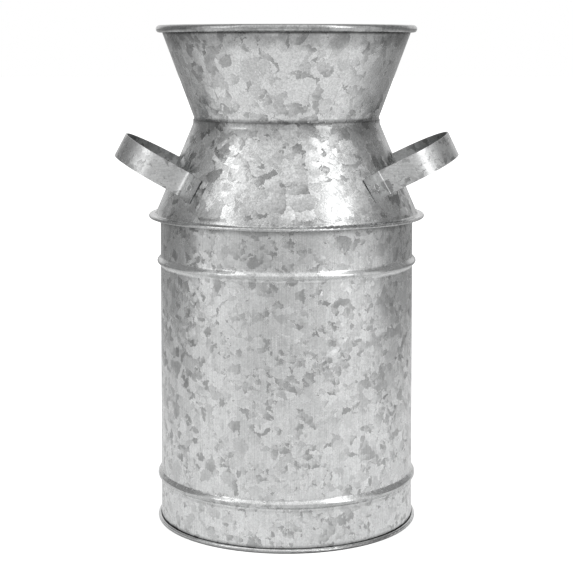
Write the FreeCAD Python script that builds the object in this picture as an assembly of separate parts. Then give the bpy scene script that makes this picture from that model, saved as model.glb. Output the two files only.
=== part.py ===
# Galvanised steel milk can with a flared mouth and two strap handles.
# Millimetres, +Z up. The origin is the centre of the circle that the can stands on.
# The handles lie on the X axis, and the sheets' lock seams are at the back, on the +Y side.
import FreeCAD, Part
import math
import os

# Driving dimensions
SHEET = 0.5  # thickness of every formed sheet
HEIGHT = 305.0  # top of the mouth's rolled rim above the floor
BODY_R = 78.9  # outside radius of the body at its foot
BODY_NARROWING = 1.6  # how much less that radius is under the flange
BODY_UPRIGHT_Z = 8.0  # the wall stands upright below this height, and narrows above it
BODY_UPRIGHT_BEND = 20.0  # bend radius where it starts to narrow
BODY_TOP_Z = 190.6  # middle of the hem that joins shoulder and body
HEM_R = 84.4  # outside radius of that hem
SHOULDER_TAPER = 0.429  # growth of the shoulder's radius per unit of drop
SHOULDER_R, SHOULDER_Z = 58.6, 242.2  # one outside radius of the shoulder cone, and its height
COLLAR_R = 56.8  # outside radius of the collar at the top of the shoulder
COLLAR_TOP_Z = 248.9
RIM_R = 78.75  # outside radius of the mouth's rolled rim
RIM_WIRE_R = 1.65  # radius of the wire in the mouth's rim
FOOT_WIRE_R = 0.8  # radius of the wire in the body's foot
FOOT_TAIL = 0.7  # length of sheet left above the wire when the foot is rolled
FOOT_FLAT_DEPTH = 0.05  # how far the foot roll is pressed flat where it stands
RIM_TAIL = 1.0  # length of sheet left under the wire when the rim is rolled
RIM_TURN_DROP = 2.1  # from the wire's middle down to where the cone turns upright
MOUTH_BEND_Z = 250.1  # where the spigot bends into the flared mouth
MOUTH_BEND = 2.0  # bend radius there and under the rim
SPIGOT_BOTTOM_Z = 240.0

# Rolled stiffening beads of the body
BEAD_HEIGHTS = (28.8, 162.9)
BEAD_RISE = 2.6  # ridge height before its crest is rounded
BEAD_HALF_WIDTH = 2.7
BEAD_CREST_BEND, BEAD_ROOT_BEND = 1.8, 1.5

# Base plate, set up inside the body
BASE_Z = 5.0  # middle of the plate's thickness
BASE_SKIRT_Z = 0.8  # lower edge of its turned-down skirt
BASE_BEND = 1.5
BASE_SOLDER_RISE = 1.6

# Lock seams: a folded band that stands proud of each rolled sheet
SEAM_WIDTH = 7.0
SEAM_RISE = 1.0
MOUTH_SEAM_GAPS = (1.2, 1.4)  # the band stops this far outside the spigot and inside the rim
SHOULDER_SEAM_GAPS = (2.5, 4.0)  # and this far under the collar and above the lip
BODY_SEAM_BOTTOM_Z = 6.0
BODY_SEAM_TOP_GAP = 2.0  # under the body's flange

# Solder in the neck, a wedge between the spigot and the shoulder
NECK_SOLDER_DROP = 0.2  # its top, under the collar's bend
NECK_SOLDER_DEPTH = 2.4  # from the bend down to its outer corner
NECK_SOLDER_SLANT = 0.9  # how much lower its inner corner is

# Hem between shoulder and body
HEM_TONGUE = 2 * SHEET  # the body's doubled flange inside the hem
HEM_UNDER_R = 79.4  # inner edge of the shoulder's lower fold
LIP_BEND, COLLAR_BEND = 1.6, 6.0

# Strap handles
STRAP = 0.8  # thickness
STRAP_WIDTH = 15.0
FOOT_LENGTH = 14.0
WELD_R = 2.4
WELD_DIMPLE = 0.12  # depth of the weld's face under the foot's face
# The straps are bent by hand, so each has its own loop: half width, straight length before the
# rounded end, depth of the rounded end, tilt above the horizontal, height of its middle line where
# it would meet the shoulder, turn towards the front, and inside radius of the bend at its feet.
HANDLES = {
    "right": {
        "half": 40.5,
        "straight": 6.5,
        "nose": 30.0,
        "tilt": 26.0,
        "root_z": 218.5,
        "turn": 3.0,
        "bend": 1.5,
    },
    "left": {
        "half": 36.0,
        "straight": 0.0,
        "nose": 36.0,
        "tilt": 28.5,
        "root_z": 216.6,
        "turn": 2.6,
        "bend": 6.0,
    },
}

ORIGIN = FreeCAD.Vector(0, 0, 0)
UP = FreeCAD.Vector(0, 0, 1)
TAPER_ANGLE = math.atan(SHOULDER_TAPER)
LARGE = 600.0  # side of a cutting box, beyond the whole can
SAME_POINT = 1e-6  # points closer than this are one point
ON_PLANE = 1e-4  # and a point this close to a plane is on it


def shoulder_r(z):
    """Outside radius of the shoulder cone at height z."""
    return SHOULDER_R + SHOULDER_TAPER * (SHOULDER_Z - z)


def section_point(corner):
    return FreeCAD.Vector(corner[0], 0, corner[1])


def bent_edges(corners):
    """Edges along (radius, height, bend radius) corners, each inner corner rounded by its bend."""
    edges = []
    here = section_point(corners[0])
    for before, corner, after in zip(corners, corners[1:], corners[2:]):
        middle = section_point(corner)
        back = (section_point(before) - middle).normalize()
        ahead = (section_point(after) - middle).normalize()
        half = back.getAngle(ahead) / 2
        reach = corner[2] / math.tan(half)
        start = middle + back * reach
        end = middle + ahead * reach
        inward = (back + ahead).normalize()
        crown = middle + inward * (corner[2] / math.sin(half) - corner[2])
        if (start - here).Length > SAME_POINT:
            edges.append(Part.LineSegment(here, start).toShape())
        edges.append(Part.Arc(start, crown, end).toShape())
        here = end
    last = section_point(corners[-1])
    if (last - here).Length > SAME_POINT:
        edges.append(Part.LineSegment(here, last).toShape())
    return edges


def shifted(corners, distance):
    """The corners moved sideways by a distance, to the left of their direction of travel."""
    points = [section_point(corner) for corner in corners]
    along = [(b - a).normalize() for a, b in zip(points, points[1:])]
    left = [FreeCAD.Vector(-d.z, 0, d.x) for d in along]
    moved = [points[0] + left[0] * distance]
    bends = [0.0]
    for i in range(1, len(points) - 1):
        turn = along[i - 1].x * along[i].z - along[i - 1].z * along[i].x
        cosine = along[i - 1].dot(along[i])
        middle = (left[i - 1] + left[i]) * (distance / (1 + cosine))
        moved.append(points[i] + middle)
        bends.append(corners[i][2] - math.copysign(distance, turn))
    moved.append(points[-1] + left[-1] * distance)
    bends.append(0.0)
    return [(p.x, p.z, bend) for p, bend in zip(moved, bends)]


def band_face(corners, right, left):
    """Face between two sideways shifts of a bent line."""
    low = bent_edges(shifted(corners, -right))
    high = bent_edges(shifted(corners, left))
    first = Part.LineSegment(low[0].firstVertex().Point, high[0].firstVertex().Point).toShape()
    last = Part.LineSegment(low[-1].lastVertex().Point, high[-1].lastVertex().Point).toShape()
    return Part.Face(Part.Wire(Part.__sortEdges__(low + high + [first, last])))


def spun(face, angle=360.0, start=0.0):
    """Solid of revolution of a section about the can's axis."""
    solid = face.revolve(ORIGIN, UP, angle)
    solid.rotate(ORIGIN, UP, start)
    return solid


def sheet_of_revolution(corners):
    return spun(band_face(corners, SHEET / 2, SHEET / 2))


def lock_seam(corners, side, radius):
    """The seam's folded band at the back; side is 1 where left of the line is outside, else -1."""
    angle = math.degrees(SEAM_WIDTH / radius)
    inner, outer = SHEET / 2, SHEET / 2 + SEAM_RISE
    face = band_face(corners, -inner, outer) if side > 0 else band_face(corners, outer, -inner)
    return spun(face, angle, 90.0 - angle / 2)


def ring_of_wire(radius, height, wire_r):
    return Part.makeTorus(radius, wire_r, FreeCAD.Vector(0, 0, height), UP)


# ---- Mouth: a flared cone with a wired rim above, and a spigot inside the collar below ----
SPIGOT_R = COLLAR_R - SHEET  # outside radius of the spigot, the collar's inside radius
RIM_ROLL_R = RIM_WIRE_R + SHEET
RIM_CENTRE_R = RIM_R - RIM_ROLL_R
RIM_CENTRE_Z = HEIGHT - RIM_ROLL_R
RIM_INNER_R = RIM_CENTRE_R - RIM_WIRE_R - SHEET / 2  # middle of the sheet beside the wire
RIM_TURN_Z = RIM_CENTRE_Z - RIM_TURN_DROP


def rolled_edge(centre_r, centre_z, wire_r, direction, tail):
    """Corners of an edge rolled outwards over a wire: direction is 1 for a rim, -1 for a foot."""
    roll = wire_r + SHEET / 2
    far = centre_z + direction * roll
    near = centre_z - direction * roll
    return [
        (centre_r - roll, far, roll),
        (centre_r + roll, far, roll),
        (centre_r + roll, near, roll),
        (centre_r - roll + tail, near, 0),
    ]


def mouth_funnel():
    spigot = SPIGOT_R - SHEET / 2
    cone = [(spigot, MOUTH_BEND_Z, MOUTH_BEND), (RIM_INNER_R, RIM_TURN_Z, MOUTH_BEND)]
    rim = rolled_edge(RIM_CENTRE_R, RIM_CENTRE_Z, RIM_WIRE_R, 1, RIM_TAIL)
    body = sheet_of_revolution([(spigot, SPIGOT_BOTTOM_Z, 0)] + cone + rim)
    rise = (RIM_TURN_Z - MOUTH_BEND_Z) / (RIM_INNER_R - spigot)
    seam_r = (spigot + MOUTH_SEAM_GAPS[0], RIM_INNER_R - MOUTH_SEAM_GAPS[1])
    seam_line = [(r, MOUTH_BEND_Z + rise * (r - spigot), 0) for r in seam_r]
    return body.fuse(lock_seam(seam_line, -1, (spigot + RIM_INNER_R) / 2))


def mouth_rim_wire():
    return ring_of_wire(RIM_CENTRE_R, RIM_CENTRE_Z, RIM_WIRE_R)


# ---- Shoulder: collar, cone and the lip folded round the body's flange ----
COLLAR_MID_R = COLLAR_R - SHEET / 2
SHOULDER_MID_INSET = SHEET / 2 / math.cos(TAPER_ANGLE)
COLLAR_BEND_Z = SHOULDER_Z - (COLLAR_MID_R + SHOULDER_MID_INSET - SHOULDER_R) / SHOULDER_TAPER
LIP_Z = BODY_TOP_Z + HEM_TONGUE / 2 + SHEET / 2
LIP_BEND_R = shoulder_r(LIP_Z) - SHOULDER_MID_INSET
HEM_FOLD = HEM_TONGUE / 2 + SHEET / 2
HEM_FOLD_R = HEM_R - HEM_FOLD - SHEET / 2


def shoulder():
    corners = [
        (COLLAR_MID_R, COLLAR_TOP_Z, 0),
        (COLLAR_MID_R, COLLAR_BEND_Z, COLLAR_BEND),
        (LIP_BEND_R, LIP_Z, LIP_BEND),
        (HEM_FOLD_R + HEM_FOLD, LIP_Z, HEM_FOLD),
        (HEM_FOLD_R + HEM_FOLD, LIP_Z - 2 * HEM_FOLD, HEM_FOLD),
        (HEM_UNDER_R, LIP_Z - 2 * HEM_FOLD, 0),
    ]
    seam_z = (COLLAR_BEND_Z - SHOULDER_SEAM_GAPS[0], LIP_Z + SHOULDER_SEAM_GAPS[1])
    seam_line = [(shoulder_r(z) - SHOULDER_MID_INSET, z, 0) for z in seam_z]
    body = sheet_of_revolution(corners)
    return body.fuse(lock_seam(seam_line, 1, shoulder_r(sum(seam_z) / 2)))


def neck_solder():
    """Solder in the wedge between the spigot and the inside of the shoulder."""
    face_r = SPIGOT_R
    foot_z = COLLAR_BEND_Z - NECK_SOLDER_DEPTH
    foot_r = shoulder_r(foot_z) - 2 * SHOULDER_MID_INSET
    top = (face_r, COLLAR_BEND_Z - NECK_SOLDER_DROP)
    points = [top, (foot_r, foot_z), (face_r, foot_z - NECK_SOLDER_SLANT), top]
    wire = Part.makePolygon([section_point(p) for p in points])
    return spun(Part.Face(wire))


# ---- Body: slightly tapered, with two beads, a flange at the top and a wired foot ----
WALL_R = BODY_R - SHEET / 2
FOOT_ROLL_R = FOOT_WIRE_R + SHEET
FOOT_CENTRE_R = BODY_R + FOOT_WIRE_R
FOOT_CENTRE_Z = FOOT_ROLL_R - FOOT_FLAT_DEPTH


def wall_r(z):
    """Radius of the middle of the body's sheet, at height z above the upright foot."""
    return WALL_R - BODY_NARROWING * (z - BODY_UPRIGHT_Z) / (BODY_TOP_Z - BODY_UPRIGHT_Z)


def bead(z):
    """Corners of one rolled bead, from its lower root to its upper root."""
    low, high = z - BEAD_HALF_WIDTH, z + BEAD_HALF_WIDTH
    return [
        (wall_r(low), low, BEAD_ROOT_BEND),
        (wall_r(z) + BEAD_RISE, z, BEAD_CREST_BEND),
        (wall_r(high), high, BEAD_ROOT_BEND),
    ]


def body_flange():
    """The doubled flange that the shoulder's lip is folded round."""
    low, high = BODY_TOP_Z - HEM_TONGUE / 2, BODY_TOP_Z + HEM_TONGUE / 2
    inner = wall_r(BODY_TOP_Z) - SHEET / 2
    corners = [(HEM_FOLD_R, low), (inner, low), (inner, high), (HEM_FOLD_R, high)]
    sides = Part.makePolygon([section_point(corner) for corner in corners])
    tip = section_point((HEM_FOLD_R + HEM_TONGUE / 2, BODY_TOP_Z))
    nose = Part.Arc(section_point(corners[0]), tip, section_point(corners[-1])).toShape()
    return spun(Part.Face(Part.Wire(Part.__sortEdges__(sides.Edges + [nose]))))


def body():
    bends = [(WALL_R, BODY_UPRIGHT_Z, BODY_UPRIGHT_BEND)]
    bends += [corner for z in BEAD_HEIGHTS for corner in bead(z)]
    foot = rolled_edge(FOOT_CENTRE_R, FOOT_CENTRE_Z, FOOT_WIRE_R, -1, FOOT_TAIL)
    top = BODY_TOP_Z - HEM_TONGUE / 2
    seam_top = top - BODY_SEAM_TOP_GAP
    wall = sheet_of_revolution(foot[::-1] + bends + [(wall_r(top), top, 0)])
    seam_line = [(WALL_R, BODY_SEAM_BOTTOM_Z, 0)] + bends + [(wall_r(seam_top), seam_top, 0)]
    floor = Part.makeBox(LARGE, LARGE, LARGE, FreeCAD.Vector(-LARGE / 2, -LARGE / 2, -LARGE))
    return wall.fuse([body_flange(), lock_seam(seam_line, -1, BODY_R)]).cut(floor)


def foot_rim_wire():
    return ring_of_wire(FOOT_CENTRE_R, FOOT_CENTRE_Z, FOOT_WIRE_R)


# ---- Base plate with its turned-down skirt, soldered inside the body ----
SKIRT_R = BODY_R - SHEET - SHEET / 2


def base_plate():
    return sheet_of_revolution([(0, BASE_Z, 0), (SKIRT_R, BASE_Z, BASE_BEND), (SKIRT_R, BASE_SKIRT_Z, 0)])


def base_solder():
    """Solder run round the plate's rounded corner, against the body's wall."""
    wall = BODY_R - SHEET
    corner_bend = BASE_BEND + SHEET / 2
    centre_r, centre_z = wall - corner_bend, BASE_Z + SHEET / 2 - corner_bend
    slope = corner_bend * math.sqrt(0.5)
    start = section_point((centre_r, centre_z + corner_bend))
    crown = section_point((centre_r + slope, centre_z + slope))
    end = section_point((wall, centre_z))
    top = section_point((wall, BASE_Z + SHEET / 2 + BASE_SOLDER_RISE))
    edges = [
        Part.Arc(start, crown, end).toShape(),
        Part.LineSegment(end, top).toShape(),
        Part.LineSegment(top, start).toShape(),
    ]
    return spun(Part.Face(Part.Wire(Part.__sortEdges__(edges))))


# ---- Strap handles: a tilted loop whose ends are bent flat onto the shoulder ----
# Each is made on the +X side as a front half, doubled by a mirror, and then put in its place.
def loop_face(handle, inset):
    """Plan of the loop's outline, moved in by inset: straight legs and a half-elliptical end."""
    half, nose, start = handle["half"] - inset, handle["nose"] - inset, handle["straight"]
    root = -handle["half"]
    centre = FreeCAD.Vector(start, 0, 0)
    tip = FreeCAD.Vector(start + nose, 0, 0)
    side = FreeCAD.Vector(start, half, 0)
    # The first point of an ellipse has to lie on its longer axis.
    first, second = (side, tip) if half > nose else (tip, side)
    end = Part.Circle(centre, UP, half) if half == nose else Part.Ellipse(first, second, centre)
    legs = Part.makePlane(start - root, 2 * half, FreeCAD.Vector(root, -half, 0))
    return Part.Face(Part.Wire(end.toShape())).fuse(legs).removeSplitter()


def loop_place(handle):
    """Frame of the loop: x out of the shoulder, y across the loop, z across the strap's width."""
    root = FreeCAD.Vector(shoulder_r(handle["root_z"]), 0, handle["root_z"])
    return FreeCAD.Placement(root, FreeCAD.Rotation(FreeCAD.Vector(0, 1, 0), -handle["tilt"]))


def crease_height(handle):
    """Height at which the middle line of a leg meets the shoulder cone."""
    tilt = math.radians(handle["tilt"])
    root_r = shoulder_r(handle["root_z"])
    run, rise = math.cos(tilt), math.sin(tilt)
    square = run**2 - (SHOULDER_TAPER * rise) ** 2
    linear = 2 * root_r * (run + SHOULDER_TAPER * rise)
    along = (-linear + math.sqrt(linear**2 - 4 * square * handle["half"] ** 2)) / (2 * square)
    return handle["root_z"] + along * rise


def foot_place(handle):
    """Frame of the front foot, at its weld: x along the foot, y along the fold, z off the cone."""
    z = crease_height(handle)
    radius = shoulder_r(z)
    azimuth = -math.asin(handle["half"] / radius) - FOOT_LENGTH / 2 / radius
    level = FreeCAD.Vector(math.cos(azimuth), math.sin(azimuth), 0)
    normal = level * math.cos(TAPER_ANGLE) + UP * math.sin(TAPER_ANGLE)
    uphill = UP * math.cos(TAPER_ANGLE) - level * math.sin(TAPER_ANGLE)
    fold = FreeCAD.Vector(0, 1, 0).cross(normal).normalize()
    on_cone = level * radius + UP * z
    loop = loop_place(handle)
    across = loop.Rotation.multVec(UP)
    weld = on_cone - uphill * ((on_cone - loop.Base).dot(across) / uphill.dot(across))
    return FreeCAD.Placement(weld, FreeCAD.Rotation(fold.cross(normal), fold, normal, "ZXY"))


def placed_box(low, high, place):
    box = Part.makeBox(*(b - a for a, b in zip(low, high)), FreeCAD.Vector(*low))
    box.Placement = place.multiply(box.Placement)
    return box


def fold_edge(shape, planes):
    """The straight edge of a shape that lies on both (point, normal) planes."""
    for edge in shape.Edges:
        if all(abs((v.Point - p).dot(n)) < ON_PLANE for v in edge.Vertexes for p, n in planes):
            return edge
    raise ValueError("no edge lies on the fold")


def weld_plug(handle, low, high):
    """Cylinder through the front foot, between two heights above the cone's surface."""
    foot = foot_place(handle)
    out = foot.Rotation.multVec(UP)
    return Part.makeCylinder(WELD_R, high - low, foot.Base + out * low, out)


def half_strap(handle):
    """The front half of one strap: half a loop, one bend and one foot with its weld hole."""
    loop, foot = loop_place(handle), foot_place(handle)
    edge, half = STRAP_WIDTH / 2, handle["half"]
    inner_y = STRAP - half
    strip = loop_face(handle, 0).cut(loop_face(handle, STRAP)).extrude(UP * STRAP_WIDTH)
    strip.translate(UP * -edge)
    strip.Placement = loop.multiply(strip.Placement)
    strip = strip.common(placed_box((-LARGE, -LARGE, -LARGE), (LARGE, 0, LARGE), FreeCAD.Placement()))
    strip = strip.cut(placed_box((-LARGE, -LARGE, -LARGE), (LARGE, LARGE, 0), foot))
    plate = placed_box((-FOOT_LENGTH, -LARGE, 0), (FOOT_LENGTH / 2, LARGE, STRAP), foot)
    plate = plate.common(placed_box((-LARGE, -LARGE, -edge), (LARGE, LARGE, edge), loop))
    plate = plate.common(placed_box((-LARGE, -LARGE, -LARGE), (LARGE, inner_y, LARGE), FreeCAD.Placement()))
    bent = strip.fuse(plate).removeSplitter()
    back, out = FreeCAD.Vector(0, 1, 0), foot.Rotation.multVec(UP)
    outside = [(foot.Base, out), (back * inner_y, back)]
    inside = [(foot.Base + out * STRAP, out), (back * -half, back)]
    bent = bent.makeFillet(handle["bend"] + STRAP, [fold_edge(bent, outside)])
    bent = bent.makeFillet(handle["bend"], [fold_edge(bent, inside)])
    return bent.cut(weld_plug(handle, -STRAP, 2 * STRAP))


def both_ends(shape):
    return [shape, shape.mirror(ORIGIN, FreeCAD.Vector(0, 1, 0))]


def on_side(shape, side):
    """Puts a shape made on the +X side in its handle's place."""
    turn = HANDLES[side]["turn"]
    if side == "left":
        shape = shape.mirror(ORIGIN, FreeCAD.Vector(1, 0, 0))
    shape = shape.copy()
    shape.rotate(ORIGIN, UP, turn if side == "left" else -turn)
    return shape


def strap_handle(side):
    front, back = both_ends(half_strap(HANDLES[side]))
    return on_side(front.fuse(back).removeSplitter(), side)


def handle_welds(side):
    nuggets = both_ends(weld_plug(HANDLES[side], -SHEET, STRAP - WELD_DIMPLE))
    return Part.makeCompound([on_side(nugget, side) for nugget in nuggets])


def weld_holes():
    holes = []
    for side, handle in HANDLES.items():
        holes += [on_side(plug, side) for plug in both_ends(weld_plug(handle, -2 * SHEET, SHEET))]
    return holes


# ---- One STEP file per node ----
NODES = {
    "mouth_funnel": mouth_funnel(),
    "mouth_rim_wire": mouth_rim_wire(),
    "neck_solder": neck_solder(),
    "shoulder": shoulder().cut(weld_holes()),
    "body": body(),
    "foot_rim_wire": foot_rim_wire(),
    "base_plate": base_plate(),
    "base_solder": base_solder(),
    "right_handle": strap_handle("right"),
    "right_handle_welds": handle_welds("right"),
    "left_handle": strap_handle("left"),
    "left_handle_welds": handle_welds("left"),
}

os.makedirs("parts", exist_ok=True)
for name, shape in NODES.items():
    solids = shape.Solids
    if not shape.isValid() or len(solids) != (2 if name.endswith("welds") else 1):
        raise ValueError(name + " isn't sound")
    kept = solids[0] if len(solids) == 1 else Part.makeCompound(solids)
    kept.exportStep("parts/" + name + ".step")
    print(f"{name}: {len(solids)} solid, {sum(s.Volume for s in solids):.1f} mm3")
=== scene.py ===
import math

import bpy
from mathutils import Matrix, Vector

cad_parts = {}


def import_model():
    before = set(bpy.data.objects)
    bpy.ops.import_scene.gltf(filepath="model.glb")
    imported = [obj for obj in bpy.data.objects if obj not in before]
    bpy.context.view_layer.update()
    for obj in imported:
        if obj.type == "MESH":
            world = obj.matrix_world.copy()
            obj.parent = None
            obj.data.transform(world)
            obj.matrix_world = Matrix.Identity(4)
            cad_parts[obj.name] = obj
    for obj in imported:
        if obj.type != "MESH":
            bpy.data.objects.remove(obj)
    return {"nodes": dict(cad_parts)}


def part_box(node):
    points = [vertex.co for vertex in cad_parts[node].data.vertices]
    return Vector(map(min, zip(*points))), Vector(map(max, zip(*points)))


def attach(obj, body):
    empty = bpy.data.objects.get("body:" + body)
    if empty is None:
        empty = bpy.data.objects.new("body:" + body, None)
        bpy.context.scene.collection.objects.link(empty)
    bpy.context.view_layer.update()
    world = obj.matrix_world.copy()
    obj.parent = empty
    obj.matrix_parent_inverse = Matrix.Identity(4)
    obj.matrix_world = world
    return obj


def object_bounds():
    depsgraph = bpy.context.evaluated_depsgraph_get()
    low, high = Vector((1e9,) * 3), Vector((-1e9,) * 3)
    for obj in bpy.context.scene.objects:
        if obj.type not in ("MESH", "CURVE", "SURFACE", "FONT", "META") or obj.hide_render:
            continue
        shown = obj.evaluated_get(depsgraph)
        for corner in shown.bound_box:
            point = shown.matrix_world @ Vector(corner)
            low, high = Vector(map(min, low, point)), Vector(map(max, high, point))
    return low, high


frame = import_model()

# Looks of the galvanised milk can. Metres, +Z up, in the frame of the CAD model.
CAD_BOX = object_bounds()

# Heights that the darker bands, the wear and painted highlights, and the painted shadow lines follow
TOP = CAD_BOX[1][2]
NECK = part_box("shoulder")[1].z
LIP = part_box("shoulder")[0].z
FOOT_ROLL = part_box("foot_rim_wire")[1].z
BEADS = (0.0288, 0.1629)  # heights of the beads' crests
BEAD_REACH = 0.0038  # from a bead's crest to where its slope ends

# Camera: level with the rim, looking down a little at the front of the can
CAMERA_DISTANCE = 0.925
CAMERA_HEIGHT = 0.2947
CAMERA_PITCH = math.radians(9.18)
CAMERA_LENS = 94.81
SENSOR = 36.0

# Zinc crystals: two finer sizes replace the main one in patches
WARP_SIZE = 0.8  # the wobble of the crystals' edges, as a share of the crystal
PATCH_SIZE = 1.8
FINER_CRYSTALS = [
    {"over": 0.49, "size": 0.6, "shift": 0.31},
    {"over": 0.57, "size": 0.36, "shift": 0.57},
]
FLAKE_OVER = 0.86  # crystals duller than this lean further

# Marks on the metal: the sizes of their patterns, and what they change
SOFT_SPREAD = 0.2  # how far from its middle a pattern reaches full strength
SHARP_SPREAD = 0.15
CLOUD_SIZE = 0.045
FEATHER_SIZE = 0.0022
FEATHER_SHIFT = 0.02  # moves the feathering apart in each crystal
GRAIN_SIZE = 0.0011
DENT_SIZE = 0.03
MOTTLE_SIZE = 0.009
MOTTLE_REACH = 0.016  # how far smudges wander up and down
# Dirt and painted shade in corners, at each seam and under edges, by how open the air around a point
# is
GRIME_SHADE_REACH = 0.004
GRIME_SHADE_SAMPLES = 12
GRIME_SHADE_OPEN = (0.12, 0.62)  # open air around a point: full dirt and painted shade, none
LINE_ROUGH = 0.10
WEAR_AND_LIGHT_MIX = 0.65  # how much wear and painted light even out the crystals' greys
WORN_TILT = 0.85  # how much it takes off their tilt
WORN_POLISH = 0.45  # how much it takes off the roughness

ON_AXIS = 0.001  # least distance from the axis that a bearing is worked out for


def grey(value):
    return (value, value, value, 1.0)


class Tree:
    """One node tree, with short calls for the nodes that the materials are made of."""

    def __init__(self, tree):
        self.tree = tree
        tree.nodes.clear()

    def node(self, kind, inputs, **settings):
        made = self.tree.nodes.new(kind)
        for name, value in settings.items():
            setattr(made, name, value)
        for name, value in inputs.items():
            socket = made.inputs[name]
            if isinstance(value, bpy.types.NodeSocket):
                self.tree.links.new(value, socket)
            else:
                socket.default_value = value
        return made

    def math(self, operation, *values):
        inputs = dict(enumerate(values))
        return self.node("ShaderNodeMath", inputs, operation=operation).outputs[0]

    def vector(self, operation, *values):
        inputs = dict(enumerate(values))
        return self.node("ShaderNodeVectorMath", inputs, operation=operation).outputs[0]

    def scaled(self, vector, factor):
        inputs = {0: vector, "Scale": factor}
        return self.node("ShaderNodeVectorMath", inputs, operation="SCALE").outputs[0]

    def centred(self, colour):
        """Random numbers of 0 to 1 moved to -0.5 to 0.5."""
        return self.vector("SUBTRACT", colour, (0.5, 0.5, 0.5))

    def noise(self, vector, size, detail=2.0, roughness=0.5):
        """Noise whose features are about size metres across."""
        inputs = {"Vector": vector, "Scale": 1 / size, "Detail": detail, "Roughness": roughness}
        return self.node("ShaderNodeTexNoise", inputs)

    def cells(self, vector, size, slope):
        """A random colour for each Voronoi cell about size metres across, changing across the cell."""
        made = self.node("ShaderNodeTexVoronoi", {"Vector": vector, "Scale": 1 / size})
        colour = made.outputs["Color"]
        away = self.vector("SUBTRACT", vector, made.outputs["Position"])
        lean = self.scaled(self.centred(colour), slope / size)
        across = self.node("ShaderNodeVectorMath", {0: away, 1: lean}, operation="DOT_PRODUCT")
        return self.vector("ADD", colour, across.outputs["Value"])

    def ramp(self, factor, stops):
        made = self.node("ShaderNodeValToRGB", {"Fac": factor})
        elements = made.color_ramp.elements
        for _ in stops[2:]:
            elements.new(1.0)
        for element, (position, value) in zip(elements, stops):
            element.position = position
            element.color = grey(value)
        return made.outputs["Color"]

    def blend(self, factor, first, second):
        inputs = {0: factor, 6: first, 7: second}
        return self.node("ShaderNodeMix", inputs, data_type="RGBA").outputs[2]

    def split(self, vector):
        return self.node("ShaderNodeSeparateXYZ", {0: vector}).outputs

    def bump(self, height, depth, normal):
        inputs = {"Height": height, "Distance": depth, "Strength": 1.0, "Normal": normal}
        return self.node("ShaderNodeBump", inputs).outputs[0]


def compass(tree, place):
    """Level distance from the can's axis, and how far round from the camera's side: 0 to 1."""
    x, y, _ = tree.split(place)
    squares = tree.math("ADD", tree.math("MULTIPLY", x, x), tree.math("MULTIPLY", y, y))
    level = tree.math("SQRT", squares)
    towards = tree.math("DIVIDE", y, tree.math("MAXIMUM", level, ON_AXIS))
    return level, tree.math("MULTIPLY_ADD", towards, 0.5, 0.5)


def stretched(tree, point, scale, turn):
    """Coordinates turned and then scaled on each axis, for marks that run one way."""
    inputs = {"Vector": point, "Rotation": turn, "Scale": scale}
    return tree.node("ShaderNodeMapping", inputs, vector_type="TEXTURE").outputs[0]


def spangle(tree, point, look):
    """Zinc crystals of mixed sizes with ragged edges: three random numbers for each crystal."""
    size = look["crystal"]
    warp = tree.noise(point, size * WARP_SIZE, detail=4.0, roughness=0.65).outputs["Color"]
    ragged = tree.vector("ADD", point, tree.scaled(tree.centred(warp), size * look["ragged"]))
    crystals = tree.cells(ragged, size, look["facet"])
    for finer in FINER_CRYSTALS:
        shift = finer["shift"]
        moved = tree.vector("ADD", ragged, (shift, shift, 0.0))
        smaller = tree.cells(moved, size * finer["size"], look["facet"])
        place = tree.vector("ADD", ragged, (0.0, shift, shift))
        patch = tree.noise(place, size * PATCH_SIZE, detail=1.0).outputs["Fac"]
        crystals = tree.blend(tree.math("GREATER_THAN", patch, finer["over"]), crystals, smaller)
    return crystals


def grime_and_shade(tree, dark):
    """Dull dark dirt and painted shade in each seam and under edges, where little open air is around:
    a grey to multiply by.
    """
    inputs = {"Distance": GRIME_SHADE_REACH}
    open_air = tree.node("ShaderNodeAmbientOcclusion", inputs, samples=GRIME_SHADE_SAMPLES)
    open_air = open_air.outputs["AO"]
    closed, clear = GRIME_SHADE_OPEN
    return tree.ramp(open_air, [(closed, dark), (clear, 1.0)])


def by_height(tree, height, stops):
    """A grey that changes with height, for painted shadow lines at each seam, and painted shade, wear
    and painted highlights on lips, beads and rolls.
    """
    return tree.ramp(tree.math("DIVIDE", height, TOP), [(z / TOP, value) for z, value in stops])


def darkening(tree, pattern, spread, share):
    """A grey from 1, where a pattern is high, down to share less, where it is low."""
    return tree.ramp(pattern, [(0.5 - spread, 1 - share), (0.5 + spread, 1.0)])


def marks(tree, where, point, crystal, lines, look):
    """Greys to multiply the metal's colour by: feathering, clouds, lines, specks, painted shadow lines
    at each seam, painted shade bands, darker mottled bands, dirt with painted shade.
    """
    apart = tree.vector("ADD", point, tree.scaled(crystal, FEATHER_SHIFT))
    feather = tree.noise(apart, FEATHER_SIZE, detail=3.0, roughness=0.7).outputs["Fac"]
    cloud = tree.noise(point, CLOUD_SIZE).outputs["Fac"]
    grain = tree.noise(point, GRAIN_SIZE, detail=3.0, roughness=0.8).outputs["Fac"]
    height = tree.split(where)[2]
    inside = tree.math("LESS_THAN", compass(tree, where)[0], look["seam_shadow_reach"])
    # Painted shadow lines by height at each seam and under rims, hems and lips, only near the axis
    seams = by_height(tree, height, look["seams"])
    mottle = tree.noise(point, MOTTLE_SIZE, detail=3.0, roughness=0.6).outputs["Fac"]
    lowest = tree.math("SUBTRACT", height, MOTTLE_REACH / 2)
    mottled = tree.math("MULTIPLY_ADD", mottle, MOTTLE_REACH, lowest)
    return [
        darkening(tree, feather, SHARP_SPREAD, look["feather"]),
        darkening(tree, cloud, SOFT_SPREAD, look["cloud"]),
        darkening(tree, lines, SOFT_SPREAD, look["line_grey"]),
        darkening(tree, grain, SHARP_SPREAD, look["speck"]),
        tree.blend(inside, grey(1.0), seams),
        # Painted shade by height, such as the dark lines under the beads' crests
        by_height(tree, height, look["edges"]),
        by_height(tree, mottled, look["mottled_bands"]),
        grime_and_shade(tree, look["grime_and_shade"]),
    ]


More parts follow.
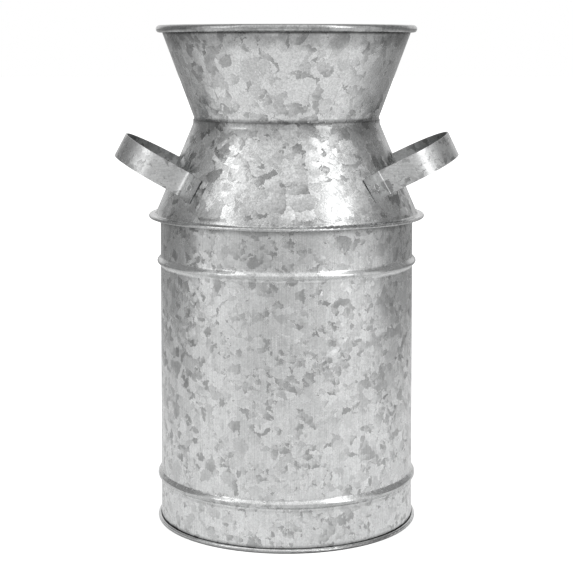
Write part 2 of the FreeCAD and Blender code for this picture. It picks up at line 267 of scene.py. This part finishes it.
def surface_normal(tree, point, crystal, lines, wear_and_light, look):
    """The sheet's normal: each crystal leans its own way, over shallow dents and fine lines."""
    tone, _, dull = tree.split(crystal)
    flatter = tree.math("MULTIPLY_ADD", wear_and_light, -look["soften"], 1.0)
    flatter = tree.node("ShaderNodeCombineXYZ", {0: 1.0, 1: 1.0, 2: flatter}).outputs[0]
    normal = tree.node("ShaderNodeNewGeometry", {}).outputs["Normal"]
    normal = tree.vector("MULTIPLY", normal, flatter)
    loose = tree.math("MULTIPLY_ADD", wear_and_light, -WORN_TILT * look["tilt"], look["tilt"])
    flake = tree.math("GREATER_THAN", dull, FLAKE_OVER)
    loose = tree.math("MULTIPLY", loose, tree.math("MULTIPLY_ADD", flake, look["flake"], 1.0))
    tilt = tree.scaled(tree.centred(crystal), loose)
    normal = tree.vector("NORMALIZE", tree.vector("ADD", normal, tilt))
    dents = tree.noise(point, DENT_SIZE, detail=1.0).outputs["Fac"]
    normal = tree.bump(dents, look["dent"], normal)
    normal = tree.bump(tone, look["relief"], normal)
    return tree.bump(lines, look["line_depth"], normal)


def galvanised(name, look):
    """Galvanised sheet: spangle, brush lines, dirt with painted shade, and metal polished bright by
    wear, which is also painted light on rolls, lips and beads.
    """
    material = bpy.data.materials.new(name)
    material.use_nodes = True
    tree = Tree(material.node_tree)
    where = tree.node("ShaderNodeTexCoord", {}).outputs["Object"]
    point = tree.vector("ADD", where, look["offset"])
    crystal = spangle(tree, point, look)
    tone, _, dull = tree.split(crystal)
    wear_and_light = by_height(tree, tree.split(where)[2], look["wear_and_light"])
    brushed = stretched(tree, point, look["brush"], look["turn"])
    lines = tree.noise(brushed, 1.0, detail=3.0, roughness=0.6).outputs["Fac"]

    metal = tree.ramp(tone, look["greys"])
    # Wear and painted light: the grey goes towards the grey of wear, a painted highlight on beads, the
    # lip and the foot roll, and painted shade on the mouth's roll
    metal = tree.blend(tree.math("MULTIPLY", wear_and_light, WEAR_AND_LIGHT_MIX), metal, grey(look["wear_and_light_grey"]))
    colour = tree.vector("MULTIPLY", look["tint"], metal)
    for mark in marks(tree, where, point, crystal, lines, look):
        colour = tree.vector("MULTIPLY", colour, mark)

    rough = tree.math("MULTIPLY_ADD", dull, look["rough_range"], look["rough"])
    rough = tree.math("MULTIPLY_ADD", lines, LINE_ROUGH, rough)
    rough = tree.math("MULTIPLY", rough, tree.math("MULTIPLY_ADD", wear_and_light, -WORN_POLISH, 1.0))

    normal = surface_normal(tree, point, crystal, lines, wear_and_light, look)
    inputs = {"Base Color": colour, "Metallic": 1.0, "Roughness": rough, "Normal": normal}
    surface = tree.node("ShaderNodeBsdfPrincipled", inputs).outputs[0]
    tree.node("ShaderNodeOutputMaterial", {"Surface": surface})
    return material


# The body is bright from wear on its foot roll and the top of its beads, which also paints a highlight
# there.
# Painted shade: dark lines run along the foot's lower edge, just under each bead's crest, and along
# the bead's lower side.
BODY_WEAR_AND_LIGHT = [(FOOT_ROLL + 0.0006, 1.0), (FOOT_ROLL + 0.0008, 0.0)]
BODY_EDGES = [(0.0012, 0.45), (0.0016, 1.0)]
for bead in BEADS:
    BODY_WEAR_AND_LIGHT += [
        (bead - BEAD_REACH, 0.0),
        (bead, 0.6),
        (bead + 0.0012, 1.0),
        (bead + BEAD_REACH, 0.0),
    ]
    BODY_EDGES += [
        (bead - 0.0045, 1.0),
        (bead - 0.0036, 0.78),
        (bead - 0.0028, 1.0),
        (bead - 0.0016, 1.0),
        (bead - 0.0010, 0.66),
        (bead - 0.0002, 0.70),
        (bead + 0.0004, 1.0),
    ]

# What a look holds:
# offset, tint             place in the pattern, so that no two sheets match, and the metal's colour
# crystal, ragged, facet   crystal size, raggedness of its edges, change of tone across it
# greys, wear_and_light_grey   crystals' greys by random number, and the grey of metal from wear, which is also painted light
# cloud, speck, feather    how much darker soft patches, specks and streaks in crystals are
# grime_and_shade          grey of the dirt and painted shade in corners
# brush, turn              size of the brush lines on each axis, and how they are turned
# line_grey, line_depth    how dark and how deep they are
# dent, relief             depth of the dents, and of the steps between crystals
# seams, seam_shadow_reach   painted shadow lines by height, only nearer to the axis than the reach
# edges, mottled_bands, wear_and_light   painted shade by height, darker bands by height with a wandering edge, and wear with painted light by height
# tilt, flake, soften      crystals' lean, extra lean of the dullest, flattening where wear and painted light are
# rough, rough_range       least roughness, and how much more the dullest crystal has
CLEAN = [(0.0, 1.0), (TOP, 1.0)]
SHEET_LOOK = {
    "offset": (0.0, 0.0, 0.0),
    "crystal": 0.0085,
    "ragged": 1.1,
    "facet": 0.5,
    "greys": [
        (0.0, 0.54),
        (0.08, 0.62),
        (0.10, 0.72),
        (0.30, 0.80),
        (0.33, 0.88),
        (0.7, 0.93),
        (1.0, 0.98),
    ],
    "wear_and_light_grey": 0.95,
    "tint": (0.99, 1.0, 1.0),
    "cloud": 0.12,
    "speck": 0.20,
    "feather": 0.10,
    "grime_and_shade": 0.35,
    "brush": (0.0005, 0.0005, 0.03),
    "turn": (0.0, 0.0, 0.0),
    "line_grey": 0.14,
    "line_depth": 0.00002,
    "dent": 0.0004,
    "relief": 0.00008,
    "seams": CLEAN,
    "seam_shadow_reach": 1.0,
    "edges": CLEAN,
    "mottled_bands": CLEAN,
    "wear_and_light": [(0.0, 0.0), (TOP, 0.0)],
    "tilt": 0.12,
    "flake": 1.0,
    "soften": 0.40,
    "rough": 0.14,
    "rough_range": 0.12,
}
LOOKS = {
    "mouth_sheet": SHEET_LOOK | {
        "offset": (0.4, 0.2, 0.1),
        "turn": (0.0, 0.6, 0.5),
        "crystal": 0.011,
        "facet": 0.6,
        # The rolled rim's grey from wear is darker: painted shade on the roll
        "wear_and_light_grey": 0.66,
        "speck": 0.30,
        "soften": 0.0,
        # Painted shadow lines at the neck seam and under the rim roll
        "seam_shadow_reach": 0.0752,
        "seams": [
            (NECK + 0.0004, 0.40),
            (NECK + 0.0012, 0.50),
            (NECK + 0.0020, 0.94),
            (TOP - 0.0058, 0.98),
            (TOP - 0.0052, 0.22),
            (TOP - 0.0030, 0.16),
        ],
        "mottled_bands": [
            (TOP - 0.016, 1.0),
            (TOP - 0.010, 0.62),
            (TOP - 0.006, 0.50),
            (TOP - 0.003, 0.80),
        ],
        "wear_and_light": [(TOP - 0.0044, 0.0), (TOP - 0.0040, 1.0)],
    },
    "shoulder_sheet": SHEET_LOOK | {
        "offset": (0.1, 0.7, 0.3),
        "turn": (0.0, 0.5, 0.3),
        "crystal": 0.0115,
        "facet": 0.7,
        "greys": [
            (0.0, 0.50),
            (0.10, 0.62),
            (0.12, 0.74),
            (0.30, 0.84),
            (0.33, 0.92),
            (0.7, 0.96),
            (1.0, 1.0),
        ],
        "speck": 0.36,
        "feather": 0.18,
        "grime_and_shade": 0.60,
        "tilt": 0.13,
        "flake": 1.8,
        "rough": 0.17,
        # Painted shadow lines under the hem and at the neck collar's top
        "seams": [
            (LIP + 0.0001, 0.40),
            (LIP + 0.0005, 1.0),
            (NECK - 0.0009, 0.95),
            (NECK - 0.0003, 0.50),
        ],
        "mottled_bands": [
            (LIP + 0.004, 0.85),
            (LIP + 0.016, 1.0),
            (NECK - 0.014, 1.0),
            (NECK - 0.004, 0.66),
        ],
        # Wear and a painted highlight along the lip
        "wear_and_light": [(LIP + 0.0030, 1.0), (LIP + 0.0045, 0.0)],
    },
    "body_sheet": SHEET_LOOK | {
        "offset": (0.3, 0.5, 0.9),
        "crystal": 0.0075,
        "line_grey": 0.20,
        "tilt": 0.15,
        "rough": 0.18,
        # Painted shadow lines just above the foot roll and under the shoulder's lip
        "seam_shadow_reach": 0.0791,
        "seams": [
            (FOOT_ROLL + 0.0010, 0.10),
            (FOOT_ROLL + 0.0013, 0.50),
            (FOOT_ROLL + 0.0020, 0.96),
            (LIP - 0.0040, 0.95),
            (LIP - 0.0012, 0.55),
        ],
        "edges": BODY_EDGES,
        "mottled_bands": [(LIP - 0.028, 1.0), (LIP - 0.010, 0.88)],
        "wear_and_light": BODY_WEAR_AND_LIGHT,
    },
    "base_sheet": SHEET_LOOK | {
        "offset": (0.8, 0.1, 0.2),
        "turn": (0.0, 1.57, 0.0),
    },
    "strap": SHEET_LOOK | {
        "offset": (0.6, 0.3, 0.7),
        "crystal": 0.007,
        "greys": [(0.0, 0.52), (0.15, 0.66), (0.25, 0.80), (0.6, 0.90), (1.0, 0.95)],
        "cloud": 0.36,
        "grime_and_shade": 0.30,
        "brush": (0.03, 0.0006, 0.0006),
        "line_grey": 0.22,
        "dent": 0.0002,
        "tilt": 0.03,
        "rough": 0.22,
        "rough_range": 0.06,
    },
    "weld": SHEET_LOOK | {
        "offset": (0.2, 0.9, 0.4),
        "crystal": 0.0015,
        "greys": [(0.0, 0.40), (0.5, 0.50), (1.0, 0.62)],
        "rough": 0.30,
    },
    "weld_ring": SHEET_LOOK | {
        "offset": (0.2, 0.9, 0.4),
        "crystal": 0.0015,
        "greys": [(0.0, 0.80), (1.0, 0.95)],
        "grime_and_shade": 0.6,
        "rough": 0.16,
    },
    "rim_wire": SHEET_LOOK | {
        "offset": (0.7, 0.6, 0.1),
        "crystal": 0.004,
        "greys": [(0.0, 0.50), (1.0, 0.62)],
        "rough": 0.30,
    },
    "solder": SHEET_LOOK | {
        "offset": (0.5, 0.4, 0.6),
        "crystal": 0.003,
        "greys": [(0.0, 0.55), (0.5, 0.62), (1.0, 0.72)],
        "dent": 0.0012,
        "relief": 0.00006,
        "rough": 0.28,
    },
}
NODE_LOOKS = {
    "mouth_funnel": "mouth_sheet",
    "mouth_rim_wire": "rim_wire",
    "neck_solder": "solder",
    "shoulder": "shoulder_sheet",
    "body": "body_sheet",
    "foot_rim_wire": "rim_wire",
    "base_plate": "base_sheet",
    "base_solder": "solder",
    "right_handle": "strap",
    "right_handle_welds": "weld",
    "left_handle": "strap",
    "left_handle_welds": "weld",
}


def dress_nodes(made):
    for node, look in NODE_LOOKS.items():
        mesh = frame["nodes"][node].data
        mesh.materials.clear()
        mesh.materials.append(made[look])


# Raised rings around the spot welds
RING_R = 0.00215
RING_TUBE = 0.00034
RING_FLATNESS = 0.6  # height of the ring's section by its width
RING_OVAL = 0.05  # how far its radius changes twice round
RING_WAVE = 0.03  # and five times round
RING_SWELL = 0.25  # how far its thickness changes three times round
RING_AROUND = 48
RING_ACROSS = 10


def weld_faces(node):
    """Centre and outward direction of the face of each spot weld of a handle."""
    mesh = frame["nodes"][node].data
    found = []
    for side in (-1, 1):
        caps = {}
        for face in mesh.polygons:
            if face.center.y * side > 0 and face.normal.dot(face.center) > 0:
                key = tuple(round(value, 3) for value in face.normal)
                caps.setdefault(key, []).append(face)
        cap = max(caps.values(), key=lambda faces: sum(face.area for face in faces))
        area = sum(face.area for face in cap)
        centre = sum((face.center * face.area for face in cap), Vector()) / area
        found.append((centre, cap[0].normal.copy()))
    return found


def weld_ring(name, centre, normal):
    """The low, uneven ring of metal that a spot welder's tip presses up around its mark."""
    side = normal.orthogonal().normalized()
    up = normal.cross(side)
    points = []
    faces = []
    for i in range(RING_AROUND):
        turn = 2 * math.pi * i / RING_AROUND
        out = side * math.cos(turn) + up * math.sin(turn)
        radius = RING_R * (1 + RING_OVAL * math.sin(2 * turn) + RING_WAVE * math.sin(5 * turn))
        tube = RING_TUBE * (1 + RING_SWELL * math.sin(3 * turn + 1))
        for j in range(RING_ACROSS):
            bend = 2 * math.pi * j / RING_ACROSS
            rise = normal * tube * RING_FLATNESS * math.sin(bend)
            points.append(centre + out * (radius + tube * math.cos(bend)) + rise)
            after = (i + 1) % RING_AROUND
            beside = (j + 1) % RING_ACROSS
            corners = ((i, j), (after, j), (after, beside), (i, beside))
            faces.append([a * RING_ACROSS + b for a, b in corners])
    mesh = bpy.data.meshes.new(name)
    mesh.from_pydata(points, [], faces)
    mesh.shade_smooth()
    ring = bpy.data.objects.new(name, mesh)
    bpy.context.collection.objects.link(ring)
    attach(ring, "root")
    return ring


def weld_rings(material):
    for node in ("right_handle_welds", "left_handle_welds"):
        for place, (centre, normal) in zip(("front", "back"), weld_faces(node)):
            ring = weld_ring(f"{node}_{place}_ring", centre, normal)
            ring.data.materials.append(material)


def camera():
    data = bpy.data.cameras.new("camera")
    data.sensor_width = SENSOR
    data.lens = CAMERA_LENS
    obj = bpy.data.objects.new("camera", data)
    obj.location = (0.0, -CAMERA_DISTANCE, CAMERA_HEIGHT)
    obj.rotation_euler = (math.pi / 2 - CAMERA_PITCH, 0.0, 0.0)
    bpy.context.collection.objects.link(obj)
    bpy.context.scene.camera = obj


# Greys of the studio by direction, from the camera's side at 0 round either side to behind at 1
WALL_GREYS = [(0.0, 0.85), (0.44, 0.85), (0.52, 0.33), (0.86, 0.33), (0.93, 0.8), (1.0, 0.85)]
CEILING_GREYS = [(0.0, 1.25), (0.30, 1.05), (0.50, 0.50), (1.0, 0.45)]
FAR_FLOOR_GREYS = [
    (0.0, 0.50),
    (0.06, 0.50),
    (0.14, 0.84),
    (0.44, 0.84),
    (0.53, 0.12),
    (0.87, 0.12),
    (0.95, 0.26),
]
OVERHEAD_GREY = 1.05
NEAR_FLOOR_GREY = 0.90
# Where walls turn into ceiling, and ceiling into overhead, by a direction's height
CEILING_RISE = [(0.55, 0.0), (0.85, 1.0)]
OVERHEAD_RISE = [(0.93, 0.0), (0.985, 1.0)]
# By distance from the can's axis: where the near floor turns into the far one, and its own light
FAR_FLOOR_REACH = [(0.12, 0.0), (0.45, 0.32), (0.95, 1.0)]
FLOOR_GLOW = [(0.08, 0.24), (0.24, 0.28), (0.50, 0.22)]
# The floor and the background as the camera sees them
SEEN_FLOOR_GREY = 0.9
SEEN_FLOOR_GLOW = 0.66
SEEN_WORLD_GREY = 1.0
FLOOR_HALF = 12.0


def floor():
    """Pale paper under the can, which the metal sees with the studio's bright and dark sides."""
    half = FLOOR_HALF
    corners = [(-half, -half, 0.0), (half, -half, 0.0), (half, half, 0.0), (-half, half, 0.0)]
    mesh = bpy.data.meshes.new("floor")
    mesh.from_pydata(corners, [], [(0, 1, 2, 3)])
    obj = bpy.data.objects.new("floor", mesh)
    bpy.context.collection.objects.link(obj)
    material = bpy.data.materials.new("floor")
    material.use_nodes = True
    tree = Tree(material.node_tree)
    level, turn = compass(tree, tree.node("ShaderNodeTexCoord", {}).outputs["Object"])
    seen = tree.node("ShaderNodeLightPath", {}).outputs["Is Camera Ray"]
    reach = tree.ramp(level, FAR_FLOOR_REACH)
    paper = tree.blend(reach, grey(NEAR_FLOOR_GREY), tree.ramp(turn, FAR_FLOOR_GREYS))
    paper = tree.blend(seen, paper, grey(SEEN_FLOOR_GREY))
    matt = tree.node("ShaderNodeBsdfDiffuse", {"Color": paper}).outputs[0]
    lift = tree.blend(seen, tree.ramp(level, FLOOR_GLOW), grey(SEEN_FLOOR_GLOW))
    glow = tree.node("ShaderNodeEmission", {"Color": lift, "Strength": 1.0}).outputs[0]
    both = tree.node("ShaderNodeAddShader", {0: matt, 1: glow}).outputs[0]
    tree.node("ShaderNodeOutputMaterial", {"Surface": both})
    mesh.materials.append(material)


def world():
    """A white studio with darker walls at both sides, which the metal reflects."""
    made = bpy.data.worlds.new("studio")
    bpy.context.scene.world = made
    made.use_nodes = True
    tree = Tree(made.node_tree)
    direction = tree.node("ShaderNodeTexCoord", {}).outputs["Generated"]
    turn = compass(tree, direction)[1]
    height = tree.split(direction)[2]
    walls = tree.ramp(turn, WALL_GREYS)
    ceiling = tree.ramp(turn, CEILING_GREYS)
    seen = tree.blend(tree.ramp(height, CEILING_RISE), walls, ceiling)
    seen = tree.blend(tree.ramp(height, OVERHEAD_RISE), seen, grey(OVERHEAD_GREY))
    path = tree.node("ShaderNodeLightPath", {}).outputs["Is Camera Ray"]
    seen = tree.blend(path, seen, grey(SEEN_WORLD_GREY))
    shade = tree.node("ShaderNodeBackground", {"Color": seen, "Strength": 1.0}).outputs[0]
    tree.node("ShaderNodeOutputWorld", {"Surface": shade})


# Azimuth in degrees from the camera's side towards +X, sizes in metres, power in watts
SOFTBOX_DISTANCE = 1.6
SOFTBOXES = {
    "left_softbox": {"azimuth": -52, "elevation": 32, "width": 0.32, "height": 1.7, "power": 1.3},
    "right_softbox": {"azimuth": 51, "elevation": 32, "width": 0.36, "height": 1.7, "power": 3.5},
    "left_panel": {"azimuth": -62, "elevation": 24, "width": 0.36, "height": 0.4, "power": 0.6},
    "right_panel": {"azimuth": 42, "elevation": 24, "width": 0.36, "height": 0.4, "power": 0.6},
}


def softbox(name, azimuth, elevation, width, height, power):
    """An area light that faces the middle of the can."""
    data = bpy.data.lights.new(name, "AREA")
    data.shape = "RECTANGLE"
    data.size = width
    data.size_y = height
    data.energy = power
    obj = bpy.data.objects.new(name, data)
    turn = math.radians(azimuth)
    rise = math.radians(elevation)
    level = math.cos(rise)
    away = Vector((math.sin(turn) * level, -math.cos(turn) * level, math.sin(rise)))
    middle = (Vector(CAD_BOX[0]) + Vector(CAD_BOX[1])) / 2
    obj.location = middle + away * SOFTBOX_DISTANCE
    obj.rotation_euler = away.to_track_quat("Z", "Y").to_euler()
    bpy.context.collection.objects.link(obj)


camera()
floor()
world()
for name, settings in SOFTBOXES.items():
    softbox(name, **settings)
materials = {name: galvanised(name, look) for name, look in LOOKS.items()}
dress_nodes(materials)
weld_rings(materials["weld_ring"])
bpy.context.scene.view_settings.view_transform = "Standard"
